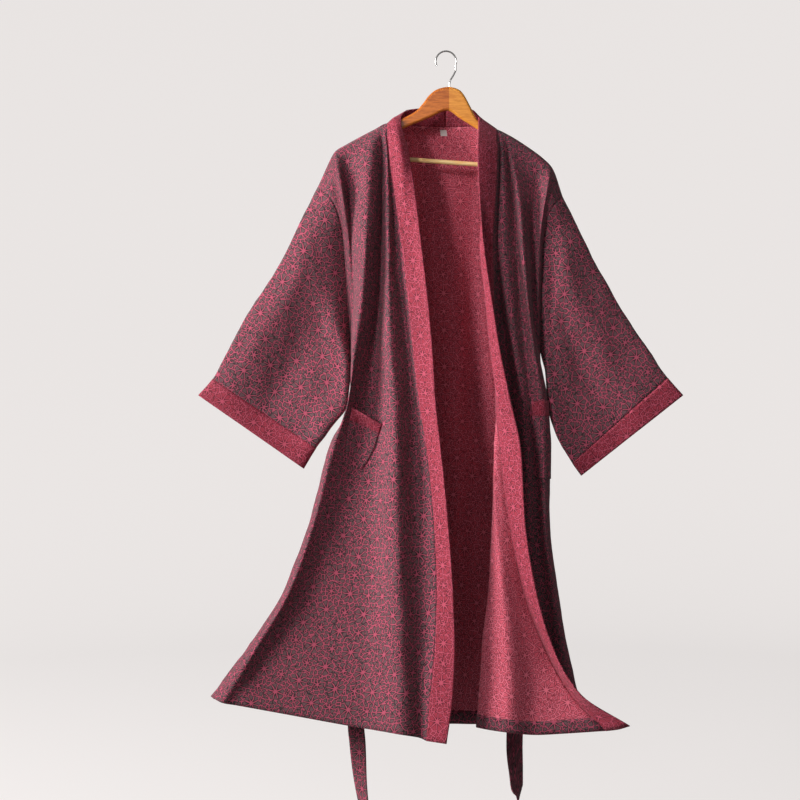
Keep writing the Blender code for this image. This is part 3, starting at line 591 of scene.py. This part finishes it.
def crumple(rows, outward, seams, seed, amount=1.0, ring=False):
    """Small folds of worn cotton, along the normal, which die out towards the named seams.

    seams is any of top, bottom, left and right.
    """
    across_it, down_it = weave_places(rows)
    last_row, last_column = len(rows) - 1, len(rows[0]) - 1
    moved = []
    for i, row in enumerate(rows):
        line = []
        for j, place in enumerate(row):
            u, v = across_it[i][j], down_it[i][j]
            gaps = {
                "top": v, "bottom": down_it[last_row][j] - v,
                "left": u, "right": across_it[i][last_column] - u,
            }
            fade = min([1.0] + [gaps[side] / SEAM_FADE for side in seams])
            fade = fade * fade * (3 - 2 * fade)
            height = sum(
                size * noise.noise(Vector((place.x * wide, place.y * wide, place.z * tall + seed)))
                for wide, tall, size in CRUMPLES
            )
            normal = normal_at(rows, i, j, ring)
            line.append(place + normal * height * fade * amount * outward)
        moved.append(line)
    return moved


def pocket(rows, design, cells=18):
    """A patch that follows the panel, whose mouth may bridge a fold or gape."""
    knots = [k / (len(design["inner"]) - 1) for k in range(len(design["inner"]))]
    band_levels = [POCKET_BAND * k / POCKET_BAND_ROWS for k in range(POCKET_BAND_ROWS + 1)]
    band_end = band_levels[-1]
    patch_levels = [
        band_end + (1 - band_end) * k / POCKET_PATCH_ROWS for k in range(POCKET_PATCH_ROWS + 1)
    ]
    lift = POCKET_LIFT * design["side"]
    pieces = []
    for levels in (band_levels, patch_levels):
        patch = []
        for down in levels:
            outer, inner = (
                [smooth(knots, axis, down) for axis in zip(*design[name])]
                for name in ("outer", "inner")
            )
            row = []
            for k in range(cells + 1):
                column, level = (a + (b - a) * k / cells for a, b in zip(outer, inner))
                place, normal = sample(rows, column * ACROSS_CELL, fine_row(level))
                row.append(place + normal * lift)
            openness = max(0.0, 1 - down) ** MOUTH_FADE
            left, right = row[0], row[-1]
            for k in range(1, cells):
                along = k / cells
                bow = Vector((0, -1, 0)) * design["gape"] * math.sin(math.pi * along)
                bridge = left.lerp(right, along)
                if bridge.y < row[k].y:
                    row[k] = row[k].lerp(bridge, design["bridged"] * openness)
                row[k] = row[k] + bow * openness
            patch.append(row)
        pieces.append(patch)
    return pieces


def belt_rows(cells=8, threads=8):
    knots = range(len(BELT))
    spots = [as_built(x, z, depth) for x, z, depth, turn in BELT]
    turns = [math.radians(turn) for x, z, depth, turn in BELT]
    rows = []
    for k in range((len(BELT) - 1) * cells + 1):
        before, here, after = (
            Vector([smooth(knots, axis, (k + step) / cells) for axis in zip(*spots)])
            for step in (-2, 0, 2)
        )
        along = after - before
        side = Vector((-along.z, 0, along.x)).normalized()
        turn = smooth(knots, turns, k / cells)
        side = side * math.cos(turn) + Vector((0, 1, 0)) * math.sin(turn)
        rows.append([here + side * BELT_WIDTH * (n / threads - 0.5) for n in range(threads + 1)])
    return rows


def loop_rows(back, column, steps=24):
    rows = []
    for k in range(steps + 1):
        share = k / steps
        row = fine_row(LOOP_ROWS[0] + (LOOP_ROWS[1] - LOOP_ROWS[0]) * share)
        place, normal = sample(back, column * ACROSS_CELL, row)
        stand = LOOP_STAND * min(1, math.sin(math.pi * share) * LOOP_RISE)
        place = place + normal * (WALL + stand)
        across_it = normal.cross(Vector((0, 0, 1))).normalized() * LOOP_WIDTH
        rows.append([place + across_it * side for side in (-0.5, -0.2, 0.2, 0.5)])
    return rows


def label_rows(back, steps=8):
    rows = []
    for i in range(steps + 1):
        level = fine_row(LABEL_ROWS[0] + (LABEL_ROWS[1] - LABEL_ROWS[0]) * i / steps)
        row = []
        for j in range(steps + 1):
            column = LABEL_COLUMNS[0] + (LABEL_COLUMNS[1] - LABEL_COLUMNS[0]) * j / steps
            place, normal = sample(back, column * ACROSS_CELL, level)
            row.append(place - normal * (WALL / 2 + LABEL_WALL))
        rows.append(row)
    return rows


class Graph:
    """A material's node tree, with short calls for the nodes used here."""

    def __init__(self, name, **settings):
        self.material = bpy.data.materials.new(name)
        self.material.use_nodes = True
        self.tree = self.material.node_tree
        self.shader = self.tree.nodes["Principled BSDF"]
        for socket, value in settings.items():
            self.shader.inputs[socket.replace("_", " ")].default_value = value

    def feed(self, socket, value):
        if isinstance(value, bpy.types.NodeSocket):
            self.tree.links.new(value, socket)
        else:
            socket.default_value = value

    def node(self, kind, output=0, options=None, **inputs):
        made = self.tree.nodes.new(kind)
        for name, value in (options or {}).items():
            setattr(made, name, value)
        for name, value in inputs.items():
            self.feed(made.inputs[name.replace("_", " ")], value)
        return made.outputs[output]

    def math(self, operation, a, b=0.0, clamp=False):
        made = self.tree.nodes.new("ShaderNodeMath")
        made.operation = operation
        made.use_clamp = clamp
        self.feed(made.inputs[0], a)
        self.feed(made.inputs[1], b)
        return made.outputs[0]

    def ease(self, value, low, high):
        """0 at low and 1 at high, smoothly. low may be the greater."""
        made = self.tree.nodes.new("ShaderNodeMapRange")
        made.interpolation_type = "SMOOTHSTEP"
        ends = (low, high, 0.0, 1.0) if low < high else (high, low, 1.0, 0.0)
        for socket, number in zip(made.inputs[1:5], ends):
            socket.default_value = number
        self.feed(made.inputs[0], value)
        return made.outputs[0]

    def mix(self, share, first, second):
        made = self.tree.nodes.new("ShaderNodeMix")
        made.data_type = "RGBA"
        for socket, value in ((0, share), (6, first), (7, second)):
            self.feed(made.inputs[socket], value)
        return made.outputs[2]

    def star(self, x, y, rays, size):
        """The distance from rays about a centre, with the radius and how far off a ray it is.

        x and y are shares of a cell of that size, and rays gives count, slimness and reach.
        """
        count, slimness, reach = rays
        radius = self.math("ADD", self.math("MULTIPLY", x, x), self.math("MULTIPLY", y, y))
        radius = self.math("MULTIPLY", self.math("SQRT", radius), size)
        turn = self.math("MULTIPLY", self.math("ARCTAN2", y, x), count / 2)
        arc = self.math("ABSOLUTE", self.math("SINE", turn))
        distance = self.math("MULTIPLY", self.math("MULTIPLY", arc, radius), slimness)
        past = self.math("MAXIMUM", self.math("SUBTRACT", radius, reach), 0.0)
        return self.math("ADD", distance, self.math("MULTIPLY", past, FAR)), radius, arc

    def bump(self, height, distance, strength=1.0):
        normal = self.node("ShaderNodeBump", Strength=strength, Distance=distance, Height=height)
        self.feed(self.shader.inputs["Normal"], normal)


def colour(red, green, blue):
    """A screen colour from 0 to 255, as light."""
    return tuple((c / 255) ** 2.2 for c in (red, green, blue)) + (1.0,)


def jacquard(name, ground, dark, line, roughness):
    """A ground with rayed medallions in petals, rosettes and vines, in three yarn colours."""
    g = Graph(
        name, Roughness=roughness, Specular_IOR_Level=0.25, Sheen_Weight=0.12, Sheen_Roughness=0.5,
    )
    place = g.node("ShaderNodeUVMap", options={"uv_map": "weave"})
    drift = g.node("ShaderNodeTexNoise", output=1, Vector=place, Scale=95.0, Detail=1.0)
    shift = g.tree.nodes.new("ShaderNodeVectorMath")
    shift.operation = "MULTIPLY_ADD"
    g.feed(shift.inputs[0], drift)
    shift.inputs[1].default_value = (DRIFT, DRIFT, 0.0)
    g.feed(shift.inputs[2], place)
    split = g.node("ShaderNodeSeparateXYZ", Vector=shift.outputs[0]).node
    u, v = split.outputs[0], split.outputs[1]
    # A square lattice turned by 45 degrees, so that the medallions stand in staggered rows.
    size = MEDALLION_PITCH / math.sqrt(2) / MM
    ways = (g.math(way, u, v) for way in ("ADD", "SUBTRACT"))
    x, y = (
        g.math("SUBTRACT", g.math("FRACT", g.math("MULTIPLY", way, 1 / MEDALLION_PITCH)), 0.5)
        for way in ways
    )
    rays, radius, arc = g.star(x, y, MEDALLION_RAYS, size)
    ring, swing = PETAL_RING
    petals = g.math("ADD", g.math("MULTIPLY", arc, swing), ring)
    petals = g.math("ABSOLUTE", g.math("SUBTRACT", radius, petals))
    corner_x, corner_y = (g.math("SUBTRACT", g.math("ABSOLUTE", w), 0.5) for w in (x, y))
    rosette, corner = g.star(corner_x, corner_y, ROSETTE_RAYS, size)[:2]
    # Vines run round drifting cells; short breaks keep them from closing into rings.
    vines = g.node(
        "ShaderNodeTexVoronoi", Vector=shift.outputs[0], Scale=VINES, Randomness=0.9,
        options={"voronoi_dimensions": "2D", "feature": "DISTANCE_TO_EDGE"},
    )
    vines = g.math("MULTIPLY", vines, 1 / (VINES * MM))
    breaks = g.node("ShaderNodeTexNoise", Vector=place, Scale=150.0, Detail=0.0)
    breaks = g.math("MULTIPLY", g.ease(breaks, *VINE_BREAKS), FAR)
    vines = g.math("ADD", vines, breaks)
    for distance, end in zip((radius, corner), VINES_END):
        inside = g.ease(distance, end + 1.5, end - 1.5)
        vines = g.math("ADD", vines, g.math("MULTIPLY", inside, 6.0))
    petals = g.math("ADD", petals, breaks)
    nearest = g.math("MINIMUM", g.math("MINIMUM", rays, petals), g.math("MINIMUM", rosette, vines))
    on_line = g.ease(nearest, *LINE_FADE)
    on_dark = g.ease(nearest, *DARK_FADE)

    threads = [g.math("SINE", g.math("MULTIPLY", w, 2 * math.pi / THREAD)) for w in (u, v)]
    weave = g.math("MULTIPLY", threads[0], threads[1])
    slub = g.node("ShaderNodeTexNoise", Vector=place, Scale=900.0, Detail=2.0, Roughness=0.7)
    wear = g.node("ShaderNodeTexNoise", Vector=place, Scale=9.0, Detail=3.0)
    shades = g.mix(on_dark, ground, dark)
    shades = g.mix(on_line, shades, line)
    tone = g.math("ADD", g.math("MULTIPLY", slub, 0.55), g.math("MULTIPLY", wear, 0.25))
    tone = g.math("ADD", g.math("ADD", tone, g.math("MULTIPLY", weave, 0.06)), 0.6)
    tinted = g.tree.nodes.new("ShaderNodeVectorMath")
    tinted.operation = "SCALE"
    g.feed(tinted.inputs[0], shades)
    g.feed(tinted.inputs[3], tone)
    g.feed(g.shader.inputs["Base Color"], tinted.outputs[0])
    relief = g.math("ADD", g.math("MULTIPLY", weave, 0.5), g.math("MULTIPLY", on_line, 0.7))
    g.bump(g.math("ADD", relief, g.math("MULTIPLY", slub, 0.5)), 0.0002, 0.6)
    return g.material


def wood(name, dark, light, lit_half=None):
    """Straight-grained varnished wood along X; the half past a given x can be painted lighter, as
    painted light.
    """
    g = Graph(name, Roughness=0.32, Coat_Weight=0.35, Coat_Roughness=0.12)
    place = g.node("ShaderNodeTexCoord", output=3)
    spread = g.node(
        "ShaderNodeMapping", Vector=place, Scale=(7.0, 60.0, 60.0), Rotation=(0.0, 0.12, 0.0),
    )
    grain = g.node(
        "ShaderNodeTexNoise", Vector=spread, Scale=4.0, Detail=5.0, Roughness=0.6, Distortion=0.4,
    )
    fine = g.node("ShaderNodeTexNoise", Vector=spread, Scale=22.0, Detail=3.0)
    share = g.math("ADD", g.math("MULTIPLY", grain, 0.9), g.math("MULTIPLY", fine, 0.35), clamp=True)
    shade = g.mix(g.ease(share, 0.35, 0.85), dark, light)
    # Painted light: the half past this x takes lighter tones, standing for the arm turned towards the
    # lamp.
    if lit_half is not None:
        split = g.node("ShaderNodeSeparateXYZ", Vector=place).node
        second = g.mix(g.ease(share, 0.3, 0.9), *lit_half["colours"])
        shade = g.mix(g.ease(split.outputs[0], lit_half["x"] - 0.0006, lit_half["x"] + 0.0006), shade, second)
    g.feed(g.shader.inputs["Base Color"], shade)
    g.feed(g.shader.inputs["Roughness"], g.math("ADD", g.math("MULTIPLY", fine, 0.2), 0.22))
    g.bump(grain, 0.00025, 0.3)
    return g.material


def steel(name):
    g = Graph(name, Metallic=1.0, Roughness=0.2)
    scuffs = g.node("ShaderNodeTexNoise", Scale=700.0, Detail=3.0)
    shade = g.mix(scuffs, (0.42, 0.41, 0.39, 1.0), (0.75, 0.74, 0.72, 1.0))
    g.feed(g.shader.inputs["Base Color"], shade)
    g.feed(g.shader.inputs["Roughness"], g.math("ADD", g.math("MULTIPLY", scuffs, 0.25), 0.1))
    g.bump(scuffs, 0.00005, 0.3)
    return g.material


def tape(name):
    """The label's white woven tape."""
    g = Graph(name, Roughness=0.7, Sheen_Weight=0.3)
    place = g.node("ShaderNodeUVMap", options={"uv_map": "weave"})
    split = g.node("ShaderNodeSeparateXYZ", Vector=place).node
    ribs = g.math("SINE", g.math("MULTIPLY", split.outputs[1], 2 * math.pi / LABEL_RIB))
    slub = g.node("ShaderNodeTexNoise", Vector=place, Scale=1500.0, Detail=2.0)
    share = g.math("ADD", g.math("MULTIPLY", ribs, 0.2), slub, clamp=True)
    g.feed(g.shader.inputs["Base Color"], g.mix(share, colour(214, 210, 206), colour(244, 242, 240)))
    g.bump(ribs, 0.0001, 0.5)
    return g.material


def studio_paper(name, shade, glow):
    """Pale paper, lit evenly from behind and a little by the studio's own lights."""
    g = Graph(
        name, Base_Color=STAGE_SHADE, Roughness=0.9, Specular_IOR_Level=0.1, Emission_Strength=glow,
    )
    mottle = g.node("ShaderNodeTexNoise", Scale=1.5, Detail=2.0)
    paper = g.mix(mottle, shade, tuple(c * 0.985 for c in shade[:3]) + (1.0,))
    g.feed(g.shader.inputs["Emission Color"], paper)
    return g.material


OUTER = jacquard(
    "outer cloth", colour(101, 74, 79), colour(44, 40, 42), colour(172, 76, 98), 0.85,
)
REVERSE = jacquard(
    "reverse cloth", colour(208, 90, 108), colour(142, 56, 69), colour(226, 114, 134), 0.8,
)
TRIM = jacquard("trim cloth", colour(154, 52, 69), colour(94, 32, 43), colour(180, 74, 95), 0.75)
TAPE = tape("label tape")
# The hanger's +X half is painted lighter: painted light on the arm that faces the lamp.
VARNISHED = wood(
    "varnished wood", colour(160, 76, 24), colour(214, 122, 48),
    {"x": 0.006, "colours": (colour(204, 116, 38), colour(240, 164, 70))},
)
PALE = wood("pale wood", colour(240, 180, 104), colour(252, 222, 160))
STEEL = steel("steel")


def link(name, data, materials):
    piece = bpy.data.objects.new(name, data)
    for material in materials:
        data.materials.append(material)
    bpy.context.scene.collection.objects.link(piece)
    return piece


def make_cloth(name, rows, wall, materials, ring=False, flip=False, grain=None):
    """A woven surface with its wall shared between both sides, the first material outside.

    grain is the direction of its cross threads in the front elevation, in degrees, for a flat tube.
    """
    mesh = bmesh.new()
    layer = mesh.loops.layers.uv.new("weave")
    grid = [[mesh.verts.new(place) for place in row] for row in rows]
    across_it, down_it = weave_places([row + row[:1] for row in rows] if ring else rows)
    width = len(grid[0])
    for i in range(len(grid) - 1):
        for j in range(width if ring else width - 1):
            corners = [(i, j), (i, j + 1), (i + 1, j + 1), (i + 1, j)]
            if flip:
                corners.reverse()
            face = mesh.faces.new([grid[a][b % width] for a, b in corners])
            face.smooth = True
            for loop, (a, b) in zip(face.loops, corners):
                if grain is None:
                    loop[layer].uv = (across_it[a][b] - across_it[a][-1] / 2, -down_it[a][b])
                    continue
                place, turn = rows[a][b % width], math.radians(grain)
                loop[layer].uv = (
                    place.x * math.cos(turn) + place.z * math.sin(turn),
                    place.z * math.cos(turn) - place.x * math.sin(turn),
                )
    data = bpy.data.meshes.new(name)
    mesh.to_mesh(data)
    mesh.free()
    piece = link(name, data, materials)
    solidify = piece.modifiers.new("wall", "SOLIDIFY")
    solidify.thickness = wall
    solidify.offset = 0
    solidify.use_rim = True
    solidify.material_offset = len(materials) - 1
    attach(piece, "root")
    return piece


def hem_strip(rows, inward):
    """The folded hem, which lies on the inside of a panel along its last rows."""
    last = len(rows) - 1
    strip = []
    for row in [last - HEM_ROWS + k for k in range(HEM_ROWS)] + [last - HEM_SHORT]:
        strip.append([
            place + normal * inward * (WALL + HEM_WALL + HEM_GAP) / 2
            for place, normal in (sample(rows, column, row) for column in range(len(rows[0])))
        ])
    return strip


def declare(piece):
    node = piece.name.replace("cloth_", "")
    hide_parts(node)


def curve_through(places, steps, closed=False):
    """A smooth run of places through the given ones, which keeps close to its corners."""
    count = len(places)
    points = [Vector(place) for place in places]
    run = []
    for i in range(count if closed else count - 1):
        if closed:
            before, a, b, after = (points[(i + k) % count] for k in (-1, 0, 1, 2))
        else:
            before, a, b, after = (points[min(max(i + k, 0), count - 1)] for k in (-1, 0, 1, 2))
        size = (b - a).length
        leave, arrive = ((ends[1] - ends[0]).normalized() * size for ends in ((before, b), (a, after)))
        for k in range(steps):
            t = k / steps
            run.append(
                a * (1 + 2 * t) * (1 - t) ** 2 + leave * t * (1 - t) ** 2
                + b * t * t * (3 - 2 * t) - arrive * t * t * (1 - t)
            )
    return run if closed else run + [points[-1]]


def upright_solid(name, places, material, node, slot, closed=False, **shape):
    """A curve drawn in the front elevation in millimetres, stood upright and made a mesh."""
    curve = bpy.data.curves.new(name, "CURVE")
    curve.dimensions = "2D" if closed else "3D"
    spline = curve.splines.new("POLY")
    spline.use_cyclic_u = closed
    spline.use_smooth = True
    spline.points.add(len(places) - 1)
    for point, place in zip(spline.points, places):
        point.co = (place[0] * MM, place[1] * MM, 0, 1)
    curve.bevel_resolution = 6
    curve.use_fill_caps = True
    for setting, value in shape.items():
        setattr(curve, setting, value)
    drawn = bpy.data.objects.new(name + "_curve", curve)
    data = bpy.data.meshes.new_from_object(drawn)
    bpy.data.objects.remove(drawn)
    data.transform(Matrix.Rotation(math.pi / 2, 4, "X"))
    data.materials.clear()
    data.shade_smooth()
    piece = link(name, data, [material])
    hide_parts(node)
    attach(piece, "root")


def make_hanger():
    outline = curve_through(HANGER_OUTLINE, CURVE_STEPS, closed=True)
    upright_solid(
        "hanger_board", outline, VARNISHED, "hanger_wood", "varnished_wood", closed=True,
        fill_mode="BOTH", extrude=WOOD_THICKNESS / 2 - WOOD_ROUNDING, bevel_depth=WOOD_ROUNDING,
        offset=-WOOD_ROUNDING,
    )
    wire = hook_arc() + curve_through(HOOK_STEM, CURVE_STEPS)
    upright_solid("hook_wire", wire, STEEL, "hanger_hook", "steel", bevel_depth=HOOK_WIRE / 2)
    for slot in frame["nodes"]["hanger_bar"].material_slots:
        slot.material = PALE


def hook_arc():
    crown = HOOK_WIRE / MM / 2 - HOOK_RADIUS
    turn = (HOOK_TO - HOOK_FROM) / HOOK_STEPS
    angles = [math.radians(HOOK_FROM + turn * k) for k in range(HOOK_STEPS)]
    return [Vector((HOOK_RADIUS * math.cos(a), crown + HOOK_RADIUS * math.sin(a))) for a in angles]


def make_robe():
    right_front = panel(RIGHT_FRONT, RIGHT_ARMHOLE, None, 0)
    left_front = panel(LEFT_FRONT, LEFT_ARMHOLE, None, 0)
    back = panel(BACK, RIGHT_ARMHOLE, LEFT_ARMHOLE, 1)
    underarm = len(ARMHOLE_LEVELS) - 1
    last = len(back[0]) - 1
    for i in range(underarm, len(back)):
        back[i][0] = right_front[i][0].copy()
        back[i][last] = left_front[i][0].copy()
    neck_start = sum(line[1] for line in BACK[:4]) * ACROSS_CELL
    neck_end = neck_start + NECK_CELLS * ACROSS_CELL * (len(NECK_FOLD) - 1)
    centre = (neck_start + neck_end) // 2
    neck_ways = (range(neck_start, centre + 1), range(neck_end, centre - 1, -1))
    bands = [
        band(lines, side, [back[0][j] for j in way])
        for side, (lines, way) in enumerate(zip((RIGHT_BAND, LEFT_BAND), neck_ways))
    ]
    for hand, front, column, sections, folds, flip, grain in (
        ("right", right_front, 0, RIGHT_SLEEVE, RIGHT_FOLDS, True, -35),
        ("left", left_front, last, LEFT_SLEEVE, LEFT_FOLDS, False, 38),
    ):
        front_seam = [row[0] for row in front[:underarm + 1]]
        back_seam = [row[column] for row in back[:underarm + 1]]
        ends = len(sections) - 2
        sleeve_at = [k / SLEEVE_STATION for k in range(ends * SLEEVE_STATION + 1)]
        cuff_at = [ends + k / CUFF_ROWS for k in range(CUFF_ROWS + 1)]
        sleeve, cuff = (
            sleeve_sections(front_seam, back_seam, sections, stations, folds)
            for stations in (sleeve_at, cuff_at)
        )
        sleeve = crumple(sleeve, 1, ("top", "bottom"), 11, 0.8, ring=True)
        piece = make_cloth("cloth_%s_sleeve" % hand, sleeve, WALL, [OUTER, REVERSE], True, flip, grain)
        declare(piece)
        piece = make_cloth("cloth_%s_cuff" % hand, cuff, CUFF_WALL, [TRIM], True, flip, grain)
        declare(piece)

    right_front = crumple(right_front, 1, ("top", "left", "right"), 3, 1.0)
    left_front = crumple(left_front, 1, ("top", "left", "right"), 5, 0.8)
    back = crumple(back, 1, ("top", "left", "right"), 7, 1.0)
    for name, rows, flip, inward in (
        ("right_front", right_front, True, 1),
        ("left_front", left_front, False, -1),
        ("back", back, False, -1),
    ):
        piece = make_cloth("cloth_" + name, rows, WALL, [OUTER, REVERSE], flip=flip)
        hem = make_cloth(name + "_hem", hem_strip(rows, inward), HEM_WALL, [OUTER])
        declare(piece)
    for hand, strip in zip(("right", "left"), bands):
        piece = make_cloth("cloth_%s_band" % hand, strip, BAND_WALL, [TRIM])
        declare(piece)
    for hand, front, design, flip in (
        ("right", right_front, RIGHT_POCKET, True),
        ("left", left_front, LEFT_POCKET, False),
    ):
        pocket_band, patch = pocket(front, design)
        piece = make_cloth("cloth_%s_pocket" % hand, patch, WALL, [OUTER, REVERSE], flip=flip)
        declare(piece)
        piece = make_cloth(
            "cloth_%s_pocket_band" % hand, pocket_band, POCKET_BAND_WALL, [TRIM], flip=flip,
        )
        declare(piece)
    belt = make_cloth("cloth_belt", belt_rows(), BELT_WALL, [OUTER])
    declare(belt)
    for hand, column in (("right", RIGHT_LOOP_COLUMN), ("left", LEFT_LOOP_COLUMN)):
        loop = make_cloth("cloth_%s_loop" % hand, loop_rows(back, column), LOOP_WALL, [OUTER])
        declare(loop)
    label = make_cloth("cloth_label", label_rows(back), LABEL_WALL, [TAPE])
    declare(label)


def make_stage():
    """A pale floor that turns up into a round wall well outside every view."""
    profile = [(STAGE_FLAT, 0.0)]
    for k in range(COVE_STEPS + 1):
        turn = math.radians(90 * k / COVE_STEPS)
        profile.append((STAGE_RADIUS - COVE + COVE * math.sin(turn), COVE - COVE * math.cos(turn)))
    profile.append((STAGE_RADIUS, STAGE_TOP))
    mesh = bmesh.new()
    turns = [2 * math.pi * k / STAGE_SIDES for k in range(STAGE_SIDES)]
    middle = mesh.verts.new((0, 0, STAGE_FLOOR))
    rings = [
        [mesh.verts.new((r * math.cos(t), r * math.sin(t), STAGE_FLOOR + h)) for t in turns]
        for r, h in profile
    ]
    for k in range(STAGE_SIDES):
        m = (k + 1) % STAGE_SIDES
        mesh.faces.new((middle, rings[0][k], rings[0][m]))
        for inner, outer in zip(rings, rings[1:]):
            mesh.faces.new((inner[k], outer[k], outer[m], inner[m]))
    for face in mesh.faces:
        face.smooth = True
    data = bpy.data.meshes.new("studio")
    mesh.to_mesh(data)
    mesh.free()
    studio = link("studio", data, [studio_paper("studio paper", STAGE_COLOUR, STAGE_GLOW)])
    studio.visible_diffuse = False
    studio.visible_glossy = False
    studio.visible_shadow = False


def area_light(name, place, aim, size, power, shade, spread):
    data = bpy.data.lights.new(name, "AREA")
    data.shape = "DISK"
    data.size = size
    data.energy = power
    data.spread = math.radians(spread)
    data.color = shade
    light = bpy.data.objects.new(name, data)
    light.location = place
    light.rotation_euler = (Vector(aim) - Vector(place)).to_track_quat("-Z", "Y").to_euler()
    bpy.context.scene.collection.objects.link(light)


def make_camera_and_lights():
    scene = bpy.context.scene
    data = bpy.data.cameras.new("camera")
    data.sensor_width = 36
    data.lens = 36 * -EYE[1] * MM / VIEW_HEIGHT
    data.clip_end = 50
    camera = bpy.data.objects.new("camera", data)
    camera.location = Vector(EYE) * MM
    camera.rotation_euler = (math.pi / 2, 0, 0)
    scene.collection.objects.link(camera)
    scene.camera = camera
    for light in LIGHTS:
        area_light(*light)
    world = bpy.data.worlds.new("studio air")
    world.use_nodes = True
    background = world.node_tree.nodes["Background"]
    background.inputs["Color"].default_value = WORLD_COLOUR
    background.inputs["Strength"].default_value = WORLD_STRENGTH
    scene.world = world
    scene.view_settings.view_transform = "Standard"


make_camera_and_lights()
make_stage()
make_hanger()
make_robe()
